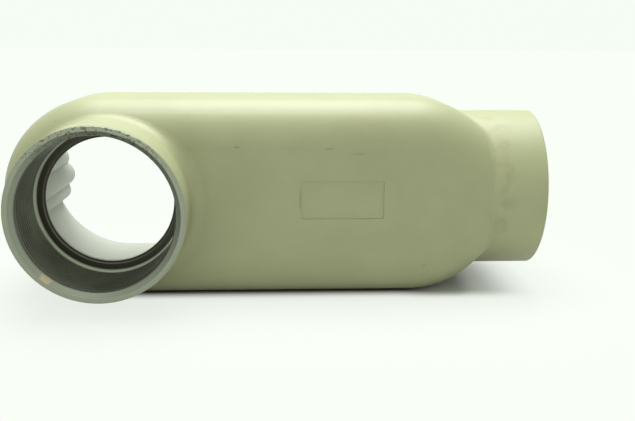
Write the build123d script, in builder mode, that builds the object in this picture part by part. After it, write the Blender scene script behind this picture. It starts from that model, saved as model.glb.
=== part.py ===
from build123d import *
import math
import os

# Right-angle conduit body for 3 in. rigid conduit: one sand casting, with no cover fitted.
# A hollow body with two half-round ends lies on one long side. A round hub stands out of
# its back near one end, a second round hub leaves the other end, and the front is open.
# Frame: X runs along the body towards the end hub, Y from the back hub to the open
# front, Z up. The origin is on the resting side, under the crossing of the hub axes.
# All sizes are in millimetres.

# Hubs
thread_r = 44.45              # bore at the thread's root, for 88.9 mm pipe
hub_wall = 5.55               # bore to the outside of the hub
lead_in = 2.55                # chamfer at each mouth, each way
hub_edge = 0.6                # broken outer edge of each mouth
hub_depth = 44.5              # mouth to the stop shoulder
stop_height = 6.45            # bore to the smooth throat of the conduit stop
stop_thickness = 5.0          # conduit stop, along the hub axis
throat_edge_r = 1.8           # rounding of the throat's two edges
back_hub_reach = 33.4         # outside of the back to the mouth of the back hub
end_hub_mouth = 264.5         # hub crossing to the mouth of the end hub
back_hub_root_r = 8.0         # blend of the back hub into the back
end_hub_root_r = 5.0          # blend of the end hub into the end

# Outer body
side_margin = 10.5            # outside of the hubs to the long sides
back_margin = 4.0             # outside of the end hub to the back
seat_margin = 2.0             # outside of the end hub to the cover seat
left_centre_x = -5.0          # centre of the plain half-round end
parting_y = 8.0               # parting line, where the body is widest
front_draft = 5.2             # degrees that the sides lean in from parting line to seat
back_edge_r = 27.0            # rounding all round the back

# Walls
wall = 6.0                    # sides and back
seat_wall = 5.0               # the same wall at the cover seat
cavity_corner_r = 3.0         # corners where the cavity meets the end hub's stop
throat_clearance = 0.6        # end throat's rounding to the start of those corners

# Cover screw bosses: a middle lobe with the tapped hole, and a smaller lobe on each side
screw_r = 3.175               # tapped hole, 1/4 in.
screw_hole_depth = 10.5
screw_lobe_r = 8.5
side_lobe_r = 7.0
side_lobe_spacing = 11.5      # middle lobe to side lobe, across the body
screw_inset = 10.4            # outer edge of the seat to the hole, at the plain end
side_lobe_setback = 1.9       # side lobes stand this much nearer to the wall
left_boss_height = 28.0
right_screw_setback = 1.5     # hole ahead of the end hub's stop face
right_boss_clearance = 1.0    # underside of the short boss to the throat

# Sunk marking panel on the back, left blank
panel_x = 138.9
panel_rise = 1.8              # above the hub axes
panel_length = 49.5
panel_height = 23.0
panel_corner_r = 1.0
panel_depth = 0.6

# Spare metal ahead of the seat, cast on and machined off after the hub blends
seat_stock = 12.0

# Derived sizes
hub_r = thread_r + hub_wall
throat_r = thread_r - stop_height
body_r = hub_r + side_margin
seat_y = hub_r + seat_margin
back_y = -hub_r - back_margin
back_hub_mouth = back_hub_reach - back_y
axis_z = body_r
front_length = seat_y - parting_y
seat_r = body_r - front_length * math.tan(math.radians(front_draft))
cavity_r = body_r - wall
cavity_seat_r = seat_r - seat_wall
cavity_draft = math.degrees(math.atan((cavity_r - cavity_seat_r) / front_length))
cavity_back_y = back_y + wall
back_stop_y = -back_hub_mouth + hub_depth + stop_thickness
end_stop_x = end_hub_mouth - hub_depth - stop_thickness
throat_room = throat_r + throat_edge_r + throat_clearance + cavity_corner_r
right_centre_x = end_stop_x - math.sqrt(cavity_r**2 - throat_room**2)
left_screw_x = left_centre_x - seat_r + screw_inset
right_screw_x = end_stop_x - right_screw_setback
right_boss_height = seat_y - throat_r - right_boss_clearance
boss_root = 3 * wall


def facing_front(y):
    """Plane across the body at y, with its normal towards the open front."""
    return Plane(origin=(0, y, axis_z), x_dir=(-1, 0, 0), z_dir=(0, 1, 0))


def facing_back(y):
    """Plane across the body at y, with its normal towards the back hub."""
    return Plane(origin=(0, y, axis_z), x_dir=(1, 0, 0), z_dir=(0, -1, 0))


def facing_end(x):
    """Plane across the end hub at x, with its normal out of the end hub."""
    return Plane(origin=(x, 0, axis_z), x_dir=(0, 1, 0), z_dir=(1, 0, 0))


def oblong(radius, mirrored):
    """Outline with two half-round ends. It is mirrored on planes whose x runs to -X."""
    sign = -1 if mirrored else 1
    span = right_centre_x - left_centre_x
    middle = (right_centre_x + left_centre_x) / 2
    with BuildSketch() as outline:
        with Locations((sign * middle, 0)):
            SlotCenterToCenter(span, 2 * radius)
    return outline.sketch


def boss_outline(screw_x, inward):
    """Plan of one boss on a plane that faces back. inward is +1 where the cavity lies on
    the +X side of the hole, and -1 where it lies on the -X side."""
    side_x = screw_x - inward * side_lobe_setback
    root_x = screw_x - inward * boss_root / 2
    with BuildSketch() as outline:
        with Locations((screw_x, 0)):
            Circle(screw_lobe_r)
        with Locations((side_x, side_lobe_spacing), (side_x, -side_lobe_spacing)):
            Circle(side_lobe_r)
        with Locations((root_x, 0)):
            Rectangle(boss_root, 2 * (side_lobe_spacing + side_lobe_r))
    return outline.sketch


# Sand core: everything that is hollow between the back wall and the open front
with BuildPart() as core:
    with BuildSketch(facing_back(parting_y)):
        add(oblong(cavity_r, False))
    extrude(amount=parting_y - cavity_back_y)
    fillet(core.faces().sort_by(Axis.Y)[0].edges(), back_edge_r - wall)
    with BuildSketch(facing_front(parting_y)):
        add(oblong(cavity_r, True))
    extrude(amount=front_length, taper=cavity_draft)

    # Thick floor that carries the back hub's stop, from the plain end to past the throat
    with BuildSketch(facing_back(back_stop_y)):
        Circle(hub_r + wall)
        Rectangle(2 * body_r, 2 * (hub_r + wall), align=(Align.MAX, Align.CENTER))
    extrude(amount=back_stop_y - cavity_back_y, mode=Mode.SUBTRACT)

    # Solid end behind the end hub's stop
    with BuildSketch(facing_end(end_stop_x)):
        Rectangle(4 * body_r, 4 * body_r)
    extrude(amount=body_r, mode=Mode.SUBTRACT)
    stop_edges = core.faces().sort_by(Axis.X)[-1].edges().sort_by(Axis.Y)
    fillet(stop_edges[:-1], cavity_corner_r)

    # Cover screw bosses stand in the cavity, so they are taken out of the core
    with BuildSketch(facing_back(seat_y)):
        add(boss_outline(left_screw_x, 1))
    extrude(amount=left_boss_height, mode=Mode.SUBTRACT)
    with BuildSketch(facing_back(seat_y)):
        add(boss_outline(right_screw_x, -1))
    extrude(amount=right_boss_height, mode=Mode.SUBTRACT)

with BuildPart() as body:
    # Back half with parallel sides, front half with draft and some spare metal
    with BuildSketch(facing_back(parting_y)):
        add(oblong(body_r, False))
    extrude(amount=parting_y - back_y)
    fillet(body.faces().sort_by(Axis.Y)[0].edges(), back_edge_r)
    with BuildSketch(facing_front(parting_y)):
        add(oblong(body_r, True))
    extrude(amount=front_length + seat_stock, taper=front_draft)

    # Back hub, blended into the back
    before = body.edges()
    with BuildSketch(facing_back(back_stop_y)):
        Circle(hub_r)
    extrude(amount=back_hub_mouth + back_stop_y)
    roots = [e for e in body.edges() - before if e.center().Y > -back_hub_mouth + lead_in]
    fillet(roots, back_hub_root_r)

    # End hub, blended into the half-round end
    before = body.edges()
    with BuildSketch(facing_end(end_stop_x - hub_r)):
        Circle(hub_r)
    extrude(amount=end_hub_mouth - end_stop_x + hub_r)
    roots = [e for e in body.edges() - before if e.center().X < end_hub_mouth - lead_in]
    fillet(roots, end_hub_root_r)

    # The machined seat takes the spare metal off
    with BuildSketch(facing_front(seat_y)):
        Rectangle(4 * end_hub_mouth, 4 * body_r)
    extrude(amount=2 * seat_stock, mode=Mode.SUBTRACT)

    add(core.part, mode=Mode.SUBTRACT)

    # Broken outer edge of each mouth
    mouths = [body.faces().sort_by(Axis.Y)[0], body.faces().sort_by(Axis.X)[-1]]
    chamfer([e for f in mouths for e in f.edges()], hub_edge)

    # Bores: lead-in, thread bore to the stop shoulder, smooth throat
    for mouth in (facing_back(-back_hub_mouth), facing_end(end_hub_mouth)):
        with BuildSketch(mouth):
            Circle(thread_r)
        extrude(amount=-hub_depth, mode=Mode.SUBTRACT)
        with BuildSketch(mouth.offset(-hub_depth)):
            Circle(throat_r)
        extrude(amount=-2 * stop_thickness, mode=Mode.SUBTRACT)

    bores = body.edges().filter_by(GeomType.CIRCLE)
    mouth_edges = [e for e in bores if abs(e.radius - thread_r) < 0.01]
    outer_rims = [
        e for e in mouth_edges
        if e.center().Y < -back_hub_mouth + 0.01 or e.center().X > end_hub_mouth - 0.01
    ]
    chamfer(outer_rims, lead_in)
    throat_edges = [
        e for e in body.edges().filter_by(GeomType.CIRCLE) if abs(e.radius - throat_r) < 0.01
    ]
    fillet(throat_edges, throat_edge_r)

    # Tapped holes for the cover screws
    for screw_x in (left_screw_x, right_screw_x):
        with BuildSketch(facing_back(seat_y)):
            with Locations((screw_x, 0)):
                Circle(screw_r)
        extrude(amount=screw_hole_depth, mode=Mode.SUBTRACT)

    # Blank marking panel
    with BuildSketch(facing_back(back_y)):
        with Locations((panel_x, panel_rise)):
            RectangleRounded(panel_length, panel_height, panel_corner_r)
    extrude(amount=-panel_depth, mode=Mode.SUBTRACT)

body.part.label = "conduit_body"

os.makedirs("parts", exist_ok=True)
export_step(body.part, "parts/conduit_body.step")
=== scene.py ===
"""Looks for a cast right-angle conduit body that lies on its long side: the coated casting
with its machined mouths, the lower part of one boss, the two pipe threads, the floor, the
light and the camera."""

import math

import bmesh
import bpy
import numpy as np
from mathutils import Matrix, Vector


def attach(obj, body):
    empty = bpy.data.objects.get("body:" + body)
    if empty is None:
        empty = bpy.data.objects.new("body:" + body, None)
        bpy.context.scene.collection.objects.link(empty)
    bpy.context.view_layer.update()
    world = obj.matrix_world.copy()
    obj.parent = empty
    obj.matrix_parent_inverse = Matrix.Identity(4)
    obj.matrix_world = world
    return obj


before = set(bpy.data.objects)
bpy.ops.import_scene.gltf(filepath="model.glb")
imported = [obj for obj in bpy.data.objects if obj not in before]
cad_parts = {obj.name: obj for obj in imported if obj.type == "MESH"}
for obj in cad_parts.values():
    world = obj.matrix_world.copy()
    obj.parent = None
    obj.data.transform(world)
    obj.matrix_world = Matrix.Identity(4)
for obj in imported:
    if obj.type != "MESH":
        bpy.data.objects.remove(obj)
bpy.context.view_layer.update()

# The casting. One sand casting in aluminium, dipped in a warm greenish grey
# coating. The mouths and the cover seat are machined after coating, so they
# show bare metal, and the inside of the chamber is a plain paler grey.
coat_colour = (0.330, 0.350, 0.190, 1)
coat_dark = (0.265, 0.275, 0.145, 1)
bare_metal = (0.285, 0.310, 0.240, 1)
metal_dark = (0.110, 0.118, 0.085, 1)
chamber_grey = (0.500, 0.530, 0.455, 1)
# Brown of the knocks, of the band round the end hub's root and of the painted shade line at the
# panel's left edge
mark_and_shade_brown = (0.215, 0.185, 0.100, 1)
# Warm orange of a painted glint, a painted reflection on the back hub's chamfer
glint_orange = (0.620, 0.470, 0.260, 1)
# Painted shade on the stop shoulders and a painted highlight ring round them
stop_shade_dark = (0.060, 0.062, 0.042, 1)
stop_highlight_pale = (0.560, 0.600, 0.500, 1)

hub_axis = 0.0605               # height of both hub axes over the floor
back_mouth = -0.0874            # y of the back hub's mouth
end_mouth = 0.2645              # x of the end hub's mouth
bore_radius = 0.04445
lead_in = 0.00255               # chamfer at each mouth
stop_depth = 0.0445             # mouth to the stop shoulder
seat_face = 0.052               # y of the cover seat
left_centre = -0.005            # x of the centres of the two round ends
right_centre = 0.182
parting = 0.008                 # y of the parting line
front_lean = 0.080              # how fast the sides lean in ahead of it
flat_reach = 0.0335             # half-width of the chamber's flat back
rounding_start = -0.027         # y where the chamber's back starts to round
rounding_radius = 0.024
chamber_end = 0.2174            # x inside the end hub's stop


def sand_skin_group():
    """Node group for the cast skin. The height is fine sand grain plus slow waves of the
    mould; the mottle is slow noise that darkens the coating in soft clouds."""
    group = bpy.data.node_groups.new("sand_skin", "ShaderNodeTree")
    face = group.interface
    face.new_socket("Position", in_out="INPUT", socket_type="NodeSocketVector")
    size = face.new_socket("Grain Size", in_out="INPUT", socket_type="NodeSocketFloat")
    size.default_value = 900
    face.new_socket("Height", in_out="OUTPUT", socket_type="NodeSocketFloat")
    face.new_socket("Mottle", in_out="OUTPUT", socket_type="NodeSocketFloat")
    nodes, links = group.nodes, group.links
    enter = nodes.new("NodeGroupInput")
    leave = nodes.new("NodeGroupOutput")
    grain = nodes.new("ShaderNodeTexNoise")
    grain.inputs["Detail"].default_value = 3
    waves = nodes.new("ShaderNodeTexNoise")
    waves.inputs["Scale"].default_value = 55
    waves.inputs["Detail"].default_value = 2
    clouds = nodes.new("ShaderNodeTexNoise")
    clouds.inputs["Scale"].default_value = 22
    clouds.inputs["Detail"].default_value = 5
    clouds.inputs["Roughness"].default_value = 0.6
    for texture in (grain, waves, clouds):
        links.new(enter.outputs["Position"], texture.inputs["Vector"])
    links.new(enter.outputs["Grain Size"], grain.inputs["Scale"])
    lift = nodes.new("ShaderNodeMath")
    lift.operation = "MULTIPLY_ADD"
    lift.inputs[1].default_value = 2.5
    links.new(waves.outputs["Fac"], lift.inputs[0])
    links.new(grain.outputs["Fac"], lift.inputs[2])
    links.new(lift.outputs[0], leave.inputs["Height"])
    links.new(clouds.outputs["Fac"], leave.inputs["Mottle"])
    return group


def part_of(tree, value, low, high):
    """Mask that rises smoothly from 0 at low to 1 at high. It falls where low is above high."""
    ramp = tree.nodes.new("ShaderNodeMapRange")
    ramp.interpolation_type = "SMOOTHSTEP"
    backwards = low > high
    ramp.inputs["From Min"].default_value = min(low, high)
    ramp.inputs["From Max"].default_value = max(low, high)
    ramp.inputs["To Min"].default_value = 1 if backwards else 0
    ramp.inputs["To Max"].default_value = 0 if backwards else 1
    tree.links.new(value, ramp.inputs["Value"])
    return ramp.outputs["Result"]


def sums(tree, how, *values):
    """Math nodes that work through the values from the first to the last."""
    result = values[0]
    for value in values[1:]:
        node = tree.nodes.new("ShaderNodeMath")
        node.operation = how
        for socket, item in zip(node.inputs, (result, value)):
            if isinstance(item, (int, float)):
                socket.default_value = item
            else:
                tree.links.new(item, socket)
        result = node.outputs[0]
    return result


def distance(tree, one, other):
    """Square root of one squared plus other squared."""
    squares = [sums(tree, "MULTIPLY", side, side) for side in (one, other)]
    return sums(tree, "SQRT", sums(tree, "ADD", *squares), 0)


def rest_of(tree, mask):
    """One minus the mask."""
    return sums(tree, "SUBTRACT", 1, mask)


def noise(tree, scale, detail):
    """Noise texture on the piece's own coordinates."""
    texture = tree.nodes.new("ShaderNodeTexNoise")
    texture.inputs["Scale"].default_value = scale
    texture.inputs["Detail"].default_value = detail
    tree.links.new(tree.nodes["Texture Coordinate"].outputs["Object"], texture.inputs["Vector"])
    return texture.outputs["Fac"]


def blend_colours(tree, mask, under, over):
    """Colour that goes from under to over with the mask. Each is a socket or a colour."""
    mix = tree.nodes.new("ShaderNodeMix")
    mix.data_type = "RGBA"
    tree.links.new(mask, mix.inputs["Factor"])
    for name, value in (("A", under), ("B", over)):
        socket = [s for s in mix.inputs if s.name == name and s.type == "RGBA"][0]
        if isinstance(value, tuple):
            socket.default_value = value
        else:
            tree.links.new(value, socket)
    return [s for s in mix.outputs if s.type == "RGBA"][0]


def new_material(name):
    """Material with its node tree and the sockets of the piece's own coordinates."""
    material = bpy.data.materials.new(name)
    material.use_nodes = True
    tree = material.node_tree
    place = tree.nodes.new("ShaderNodeTexCoord").outputs["Object"]
    split = tree.nodes.new("ShaderNodeSeparateXYZ")
    tree.links.new(place, split.inputs[0])
    return material, tree, place, split.outputs


skin = sand_skin_group()
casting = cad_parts["conduit_body"]
coating, coat, place, (along, across, up) = new_material("cast_coating")
cast_skin = coat.nodes.new("ShaderNodeGroup")
cast_skin.node_tree = skin
coat.links.new(place, cast_skin.inputs["Position"])


def hub_masks(depth, radius):
    """Masks of one hub by the depth from its mouth and the radius from its own axis: its
    machined face, its bore with the chamfer, and the stop shoulder at the bore's foot."""
    bore_edge = bore_radius + lead_in
    face = part_of(coat, depth, 0.0004, 0.0002)
    bored = sums(coat, "MULTIPLY",
                 part_of(coat, depth, stop_depth + 0.0017, stop_depth + 0.0013),
                 part_of(coat, radius, bore_edge + 0.0004, bore_edge + 0.0001))
    stop = sums(coat, "MULTIPLY",
                part_of(coat, depth, stop_depth - 0.0007, stop_depth - 0.0003),
                part_of(coat, radius, 0.0480, 0.0470))
    return face, bored, stop


# Bare metal: both mouths with their chamfers, both bores, and the cover seat
height = sums(coat, "SUBTRACT", up, hub_axis)
from_back_axis = distance(coat, along, height)
from_end_axis = distance(coat, across, height)
back_depth = sums(coat, "SUBTRACT", across, back_mouth)
end_depth = sums(coat, "SUBTRACT", end_mouth, along)
back_face, back_bored, back_stop = hub_masks(back_depth, from_back_axis)
end_face, end_bored, end_stop = hub_masks(end_depth, from_end_axis)
seat = part_of(coat, across, seat_face - 0.0004, seat_face - 0.0002)
machined = sums(coat, "MAXIMUM", back_face, back_bored, end_face, end_bored, seat)

# The chamber: everything inside the middle of the wall, whose back is rounded too. A
# point is inside where its distance from the rounding's centre line is small.
past_end = sums(coat, "ADD",
                sums(coat, "MINIMUM", sums(coat, "SUBTRACT", along, left_centre), 0),
                sums(coat, "MAXIMUM", sums(coat, "SUBTRACT", along, right_centre), 0))
ahead = sums(coat, "MAXIMUM", sums(coat, "SUBTRACT", across, parting), 0)
from_middle = sums(coat, "ADD", distance(coat, past_end, height),
                   sums(coat, "MULTIPLY", ahead, front_lean))
outwards = sums(coat, "MAXIMUM", sums(coat, "SUBTRACT", from_middle, flat_reach), 0)
deep = sums(coat, "MAXIMUM", sums(coat, "SUBTRACT", rounding_start, across), 0)
chamber = sums(coat, "MULTIPLY",
               part_of(coat, distance(coat, outwards, deep),
                       rounding_radius + 0.0003, rounding_radius - 0.0003),
               part_of(coat, along, chamber_end + 0.0002, chamber_end - 0.0002),
               part_of(coat, across, seat_face - 0.0002, seat_face - 0.0004))

# Turned rings round each hub's own axis and dark pits, which the tool left in the
# mouths. The milled seat has neither.
near_end = part_of(coat, along, 0.10, 0.18)
ring_radius = sums(coat, "ADD", sums(coat, "MULTIPLY", from_back_axis, rest_of(coat, near_end)),
                   sums(coat, "MULTIPLY", from_end_axis, near_end))
turned = coat.nodes.new("ShaderNodeTexNoise")
turned.inputs["Scale"].default_value = 2600
turned.inputs["Detail"].default_value = 2
turned.noise_dimensions = "1D"
coat.links.new(ring_radius, turned.inputs["W"])
grooved = sums(coat, "MULTIPLY", part_of(coat, turned.outputs["Fac"], 0.42, 0.66), 0.45)
pitted = sums(coat, "MULTIPLY", part_of(coat, noise(coat, 620, 3), 0.50, 0.62),
              part_of(coat, up, hub_axis + 0.018, hub_axis + 0.044))
worn_metal = sums(coat, "MULTIPLY", sums(coat, "MAXIMUM", grooved, pitted), rest_of(coat, seat))

# The stop shoulders are painted dark, a painted shade, with a painted bright highlight ring round
# them
at_stop = sums(coat, "MULTIPLY", sums(coat, "MAXIMUM", back_stop, end_stop), machined)
painted_stop_shade = sums(coat, "MULTIPLY", at_stop, part_of(coat, ring_radius, 0.0432, 0.0426))
painted_stop_highlight = sums(coat, "MULTIPLY", at_stop, part_of(coat, ring_radius, 0.0430, 0.0434))

# A brown band in noisy patches where the body meets the end hub
junction_band = sums(coat, "MULTIPLY", part_of(coat, noise(coat, 95, 4), 0.5, 0.68),
           part_of(coat, along, 0.222, 0.236), part_of(coat, along, 0.250, 0.238), 0.28)


def small_mark(x, z, long, tall):
    """Mask of one mark seen from the back, by its distance from (x, z) in half-lengths."""
    reach = [sums(coat, "DIVIDE", sums(coat, "SUBTRACT", way, centre), half)
             for way, centre, half in ((along, x, long), (up, z, tall))]
    squares = [sums(coat, "MULTIPLY", part, part) for part in reach]
    return part_of(coat, sums(coat, "ADD", *squares), 1.0, 0.2)


# Small dark knocks on the back, each with its x, z and half-lengths. The last is a tall thin dark
# line along the panel's left edge, painted shade at the recess's edge. Then a painted warm glint, a
# painted reflection, on the chamfer of the back hub, low on the left
knock_and_shade_spots = ((-0.0285, 0.108, 0.0007, 0.0007), (0.0765, 0.094, 0.0022, 0.0008),
          (0.131, 0.093, 0.0035, 0.0006), (0.148, 0.090, 0.0050, 0.0006),
          (0.189, 0.0215, 0.0020, 0.0007), (0.1135, 0.063, 0.0008, 0.0080))
knocks_and_edge_shade = sums(coat, "MAXIMUM", *(small_mark(*listed_mark) for listed_mark in knock_and_shade_spots))
knocks_and_edge_shade = sums(coat, "MULTIPLY", knocks_and_edge_shade, 0.5, part_of(coat, across, 0.0, -0.01))
painted_glint = sums(coat, "MULTIPLY", small_mark(-0.0285, 0.0252, 0.0044, 0.0040), back_bored,
            part_of(coat, back_depth, 0.0040, 0.0010), 0.55)

clouds = sums(coat, "MULTIPLY", part_of(coat, cast_skin.outputs["Mottle"], 0.35, 0.7), 0.35)
turned_metal = blend_colours(coat, worn_metal, bare_metal, metal_dark)
colour = blend_colours(coat, clouds, coat_colour, coat_dark)
for mask, over in ((junction_band, mark_and_shade_brown), (knocks_and_edge_shade, mark_and_shade_brown), (chamber, chamber_grey),
                   (machined, turned_metal), (painted_glint, glint_orange), (painted_stop_shade, stop_shade_dark),
                   (painted_stop_highlight, stop_highlight_pale)):
    colour = blend_colours(coat, mask, colour, over)

coat_shader = coat.nodes["Principled BSDF"]
coat.links.new(colour, coat_shader.inputs["Base Color"])
coat.links.new(sums(coat, "MULTIPLY", machined, 0.75), coat_shader.inputs["Metallic"])
rough = coat.nodes.new("ShaderNodeMapRange")
rough.inputs["To Min"].default_value = 0.48
rough.inputs["To Max"].default_value = 0.36
coat.links.new(machined, rough.inputs["Value"])
coat.links.new(rough.outputs["Result"], coat_shader.inputs["Roughness"])
bump = coat.nodes.new("ShaderNodeBump")
bump.inputs["Strength"].default_value = 0.12
bump.inputs["Distance"].default_value = 0.0004
coat.links.new(cast_skin.outputs["Height"], bump.inputs["Height"])
coat.links.new(bump.outputs["Normal"], coat_shader.inputs["Normal"])
for number in range(len(casting.material_slots)):
    casting.material_slots[number].material = coating

# The cover screw boss's three columns, below the part that is in the solid. They
# are cast with the body and run down the round end's wall to the thick floor.
column_top = 0.0240
column_foot = -0.0385
column_back = -0.0580
column_lobes = ((-0.051096, 0.0, 0.0085), (-0.052996, -0.0115, 0.0070), (-0.052996, 0.0115, 0.0070))


def new_piece(name, points, faces):
    """Object at the origin with the mesh of the points and faces."""
    mesh = bpy.data.meshes.new(name)
    mesh.from_pydata(points.tolist(), [], faces)
    piece = bpy.data.objects.new(name, mesh)
    bpy.context.scene.collection.objects.link(piece)
    return piece


def boss_columns(name):
    """Closed wall swept along Y. Its front is x = the largest of cx + sqrt(r^2 - (z - cz)^2)
    over the three lobes, where a lobe that z misses is put 1 m back, and its back is flat
    inside the casting's wall."""
    half = max(cz + r for cx, cz, r in column_lobes)
    z = half * np.sin(np.linspace(-math.pi / 2, math.pi / 2, 97))
    fronts = [cx + np.sqrt(np.clip(r * r - (z - cz) ** 2, 0, None)) - (np.abs(z - cz) > r)
              for cx, cz, r in column_lobes]
    ring_x = np.concatenate([np.maximum.reduce(fronts), [column_back, column_back]])
    ring_z = np.concatenate([z, [half, -half]]) + hub_axis
    count = len(ring_x)
    ring_y = np.repeat([column_foot, column_top], count)
    points = np.stack([np.tile(ring_x, 2), ring_y, np.tile(ring_z, 2)], -1)
    step = np.arange(count)
    beside = (step + 1) % count
    sides = np.stack([step, step + count, beside + count, beside], -1).tolist()
    piece = new_piece(name, points, sides + [step.tolist(), (step[::-1] + count).tolist()])
    shell = bmesh.new()
    shell.from_mesh(piece.data)
    bmesh.ops.recalc_face_normals(shell, faces=shell.faces)
    shell.to_mesh(piece.data)
    shell.free()
    return piece


columns = boss_columns("boss_columns")
columns.data.materials.append(coating)
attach(columns, "root")

# The two pipe threads. Each is cut on a lathe from the mouth's chamfer to the
# stop shoulder, eight turns to the inch, so the crests wind round as one helix.
thread_pitch = 0.003175
thread_height = 0.0009
thread_length = 0.0395
clear_of_bore = 0.00004         # keeps the thread's root off the bore
thread_bright = (0.165, 0.172, 0.130, 1)
thread_dull = (0.105, 0.108, 0.080, 1)
around_steps = 180
pitch_steps = 8


def thread_sheet():
    """Inside of a threaded bore round +Z, from z = 0 at the chamfer to the shoulder.
    radius = bore - height * tooth(z / pitch - turn), where tooth is a rounded triangle
    wave, and it fades out at both ends."""
    rows = int(thread_length / thread_pitch * pitch_steps)
    angle = np.linspace(0, 2 * math.pi, around_steps, endpoint=False)
    grid_angle, z = np.meshgrid(angle, np.linspace(0, thread_length, rows + 1))
    phase = (z / thread_pitch - grid_angle / (2 * math.pi)) % 1
    tooth = np.clip(1.15 * (1 - np.abs(2 * phase - 1)), 0.08, 0.95)
    fade = (np.clip(z / (1.5 * thread_pitch), 0, 1)
            * np.clip((thread_length - z) / thread_pitch, 0, 1))
    radius = bore_radius - clear_of_bore - thread_height * tooth * fade
    points = np.stack([radius * np.cos(grid_angle), radius * np.sin(grid_angle), z], -1)
    row, column = np.meshgrid(np.arange(rows), np.arange(around_steps), indexing="ij")
    start, below = row * around_steps, (row + 1) * around_steps
    beside = (column + 1) % around_steps
    quads = np.stack([start + column, below + column, below + beside, start + beside], -1)
    return points.reshape(-1, 3), quads.reshape(-1, 4)


cut_metal, cut, cut_place, cut_ways = new_material("cut_thread")
cut_skin = cut.nodes.new("ShaderNodeGroup")
cut_skin.node_tree = skin
cut.links.new(cut_place, cut_skin.inputs["Position"])
cut_colour = blend_colours(cut, part_of(cut, cut_skin.outputs["Mottle"], 0.3, 0.7),
                           thread_bright, thread_dull)
cut_shader = cut.nodes["Principled BSDF"]
cut.links.new(cut_colour, cut_shader.inputs["Base Color"])
cut_shader.inputs["Metallic"].default_value = 0.8
cut_shader.inputs["Roughness"].default_value = 0.4

# Each thread's name, the 3 x 3 matrix that turns it onto its hub, and its start
threads = {
    "back_thread": ([[1, 0, 0], [0, 0, 1], [0, -1, 0]], (0, back_mouth + lead_in, hub_axis)),
    "end_thread": ([[0, 0, -1], [1, 0, 0], [0, -1, 0]], (end_mouth - lead_in, 0, hub_axis)),
}
for name, (matrix, start) in threads.items():
    points, quads = thread_sheet()
    thread = new_piece(name, points @ np.array(matrix).T + np.array(start), quads.tolist())
    thread.data.polygons.foreach_set("use_smooth", np.ones(len(quads), bool))
    thread.data.materials.append(cut_metal)
    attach(thread, "root")

# The floor: a plain white sweep that the casting lies on. Clear of the casting the
# paper glows white to the camera and in the metal; the glow fades out towards the
# casting, so close to it the paper is plain and takes the shadow. In the gap under the
# rounded back the paper is painted dark, a painted shadow, and under the end hub the
# glow is taken off in a strip, a painted shadow strip.
floor_half = 6.0
floor_drop = -0.0002
plain_paper = (0.60, 0.61, 0.58, 1)
# Dark colour painted on the paper in the gap under the rounded back: a painted shadow
painted_gap_shadow = (0.14, 0.14, 0.11, 1)
paper_glow = (0.95, 1.0, 0.93, 1)
gap_middle = 0.10               # x of the middle of the gap
gap_half_length = 0.110
gap_half_width = 0.030

corners = np.array([(-1, -1, 0), (1, -1, 0), (1, 1, 0), (-1, 1, 0)]) * floor_half
floor = new_piece("floor", corners + [0, 0, floor_drop], [(0, 1, 2, 3)])
white_paper, paper, paper_place, (paper_x, paper_y, paper_z) = new_material("white_paper")


def past(way, middle, half):
    """How far a point is past half on either side of middle, or 0 where it is within."""
    off = sums(paper, "ABSOLUTE", sums(paper, "SUBTRACT", way, middle), 0)
    return sums(paper, "MAXIMUM", sums(paper, "SUBTRACT", off, half), 0)


def shows_background(tree):
    """Mask of the rays that see a white background: the camera's, and in metal and glass."""
    rays = tree.nodes.new("ShaderNodeLightPath")
    kinds = ("Is Camera Ray", "Is Glossy Ray", "Is Transmission Ray")
    return sums(tree, "MAXIMUM", *(rays.outputs[kind] for kind in kinds))


def blend_shaders(tree, mask, under, over, leave):
    """Joins two shaders by the mask and leads them to the tree's output node."""
    mix = tree.nodes.new("ShaderNodeMixShader")
    for socket, value in zip(mix.inputs, (mask, under.outputs[0], over.outputs[0])):
        tree.links.new(value, socket)
    tree.links.new(mix.outputs[0], tree.nodes[leave].inputs["Surface"])


past_side = past(paper_y, 0.0, gap_half_width)
clear = distance(paper, past(paper_x, gap_middle, gap_half_length), past_side)
# 0 in the gap, where the painted shadow colour goes, and 1 elsewhere
out_of_gap = sums(paper, "MAXIMUM", part_of(paper, clear, 0.001, 0.010),
                  part_of(paper, paper_x, 0.172, 0.200))
# Under the end hub the glow is taken off in a strip, so a painted shadow strip shows there
shadow_strip_under_end_hub = sums(paper, "MULTIPLY", part_of(paper, paper_x, 0.262, 0.225),
                     part_of(paper, paper_x, 0.170, 0.200), part_of(paper, past_side, 0.024, 0.004))
whiteness = sums(paper, "ADD", sums(paper, "MULTIPLY", part_of(paper, clear, 0.004, 0.020), 0.80),
                 sums(paper, "MULTIPLY", part_of(paper, clear, 0.018, 0.15), 0.20))
whiteness = sums(paper, "MULTIPLY", whiteness,
                 rest_of(paper, sums(paper, "MULTIPLY", shadow_strip_under_end_hub, 0.75)))
paper_shader = paper.nodes["Principled BSDF"]
paper.links.new(blend_colours(paper, out_of_gap, painted_gap_shadow, plain_paper),
                paper_shader.inputs["Base Color"])
paper_shader.inputs["Roughness"].default_value = 0.8
paper_shader.inputs["Specular IOR Level"].default_value = 0.1
white = paper.nodes.new("ShaderNodeEmission")
white.inputs["Color"].default_value = paper_glow
white.inputs["Strength"].default_value = 1.0
blend_shaders(paper, sums(paper, "MULTIPLY", whiteness, shows_background(paper)),
              paper_shader, white, "Material Output")
floor.data.materials.append(white_paper)

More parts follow.
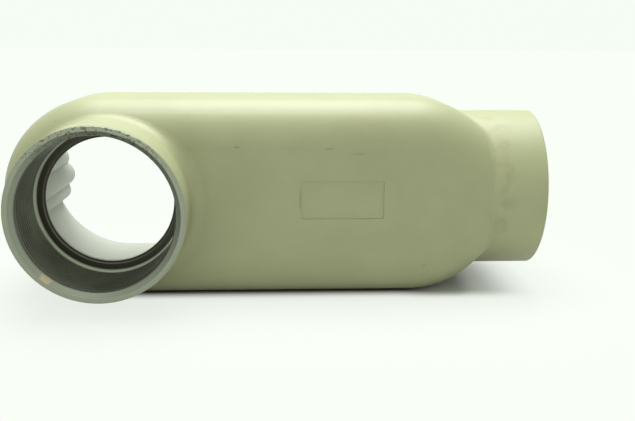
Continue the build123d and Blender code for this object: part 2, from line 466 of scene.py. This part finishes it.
# Light: a wide soft lamp above and behind, a weak soft fill in front, and a
# room that looks white to the camera and in the metal.
world = bpy.data.worlds.new("room")
bpy.context.scene.world = world
world.use_nodes = True
room = world.node_tree
dim = room.nodes["Background"]
dim.inputs["Color"].default_value = (0.97, 1.0, 0.95, 1)
dim.inputs["Strength"].default_value = 0.51
bright = room.nodes.new("ShaderNodeBackground")
bright.inputs["Color"].default_value = (0.93, 1.0, 0.92, 1)
bright.inputs["Strength"].default_value = 0.98
blend_shaders(room, shows_background(room), dim, bright, "World Output")


def soft_lamp(name, spot, width, power):
    """Square area lamp at spot, turned to face the middle of the casting."""
    lamp = bpy.data.lights.new(name, "AREA")
    lamp.shape = "SQUARE"
    lamp.size = width
    lamp.energy = power
    holder = bpy.data.objects.new(name, lamp)
    holder.location = spot
    towards = Vector((0.1, 0.0, 0.06)) - Vector(spot)
    holder.rotation_euler = towards.to_track_quat("-Z", "Y").to_euler()
    bpy.context.scene.collection.objects.link(holder)


soft_lamp("top_lamp", (0.12, 0.24, 1.1), 0.9, 22)
soft_lamp("front_lamp", (0.0, -1.4, 0.5), 1.2, 3.7)

# The camera, at the photograph's place and angle, as fitted to the two hubs. The
# focal length is fitted in pixels of the photograph, which is 635 pixels wide.
image_width = 635
focal_pixels = 822.46
sensor_width = 36
spot = (0.09834, -0.53060, 0.10139 + hub_axis)
yaw, pitch, roll = (math.radians(angle) for angle in (3.07, 12.49, 0.42))
look = np.array([math.sin(yaw) * math.cos(pitch), math.cos(yaw) * math.cos(pitch),
                 -math.sin(pitch)])
level = np.array([math.cos(yaw), -math.sin(yaw), 0.0])
upright = np.cross(level, look)
side = level * math.cos(roll) + upright * math.sin(roll)
top = upright * math.cos(roll) - level * math.sin(roll)
lens = bpy.data.cameras.new("camera")
lens.sensor_width = sensor_width
lens.lens = focal_pixels / image_width * sensor_width
camera = bpy.data.objects.new("camera", lens)
bpy.context.scene.collection.objects.link(camera)
camera.matrix_world = Matrix([*([side[i], top[i], -look[i], spot[i]] for i in range(3)),
                              [0, 0, 0, 1]])
bpy.context.scene.camera = camera
bpy.context.scene.view_settings.view_transform = "Standard"
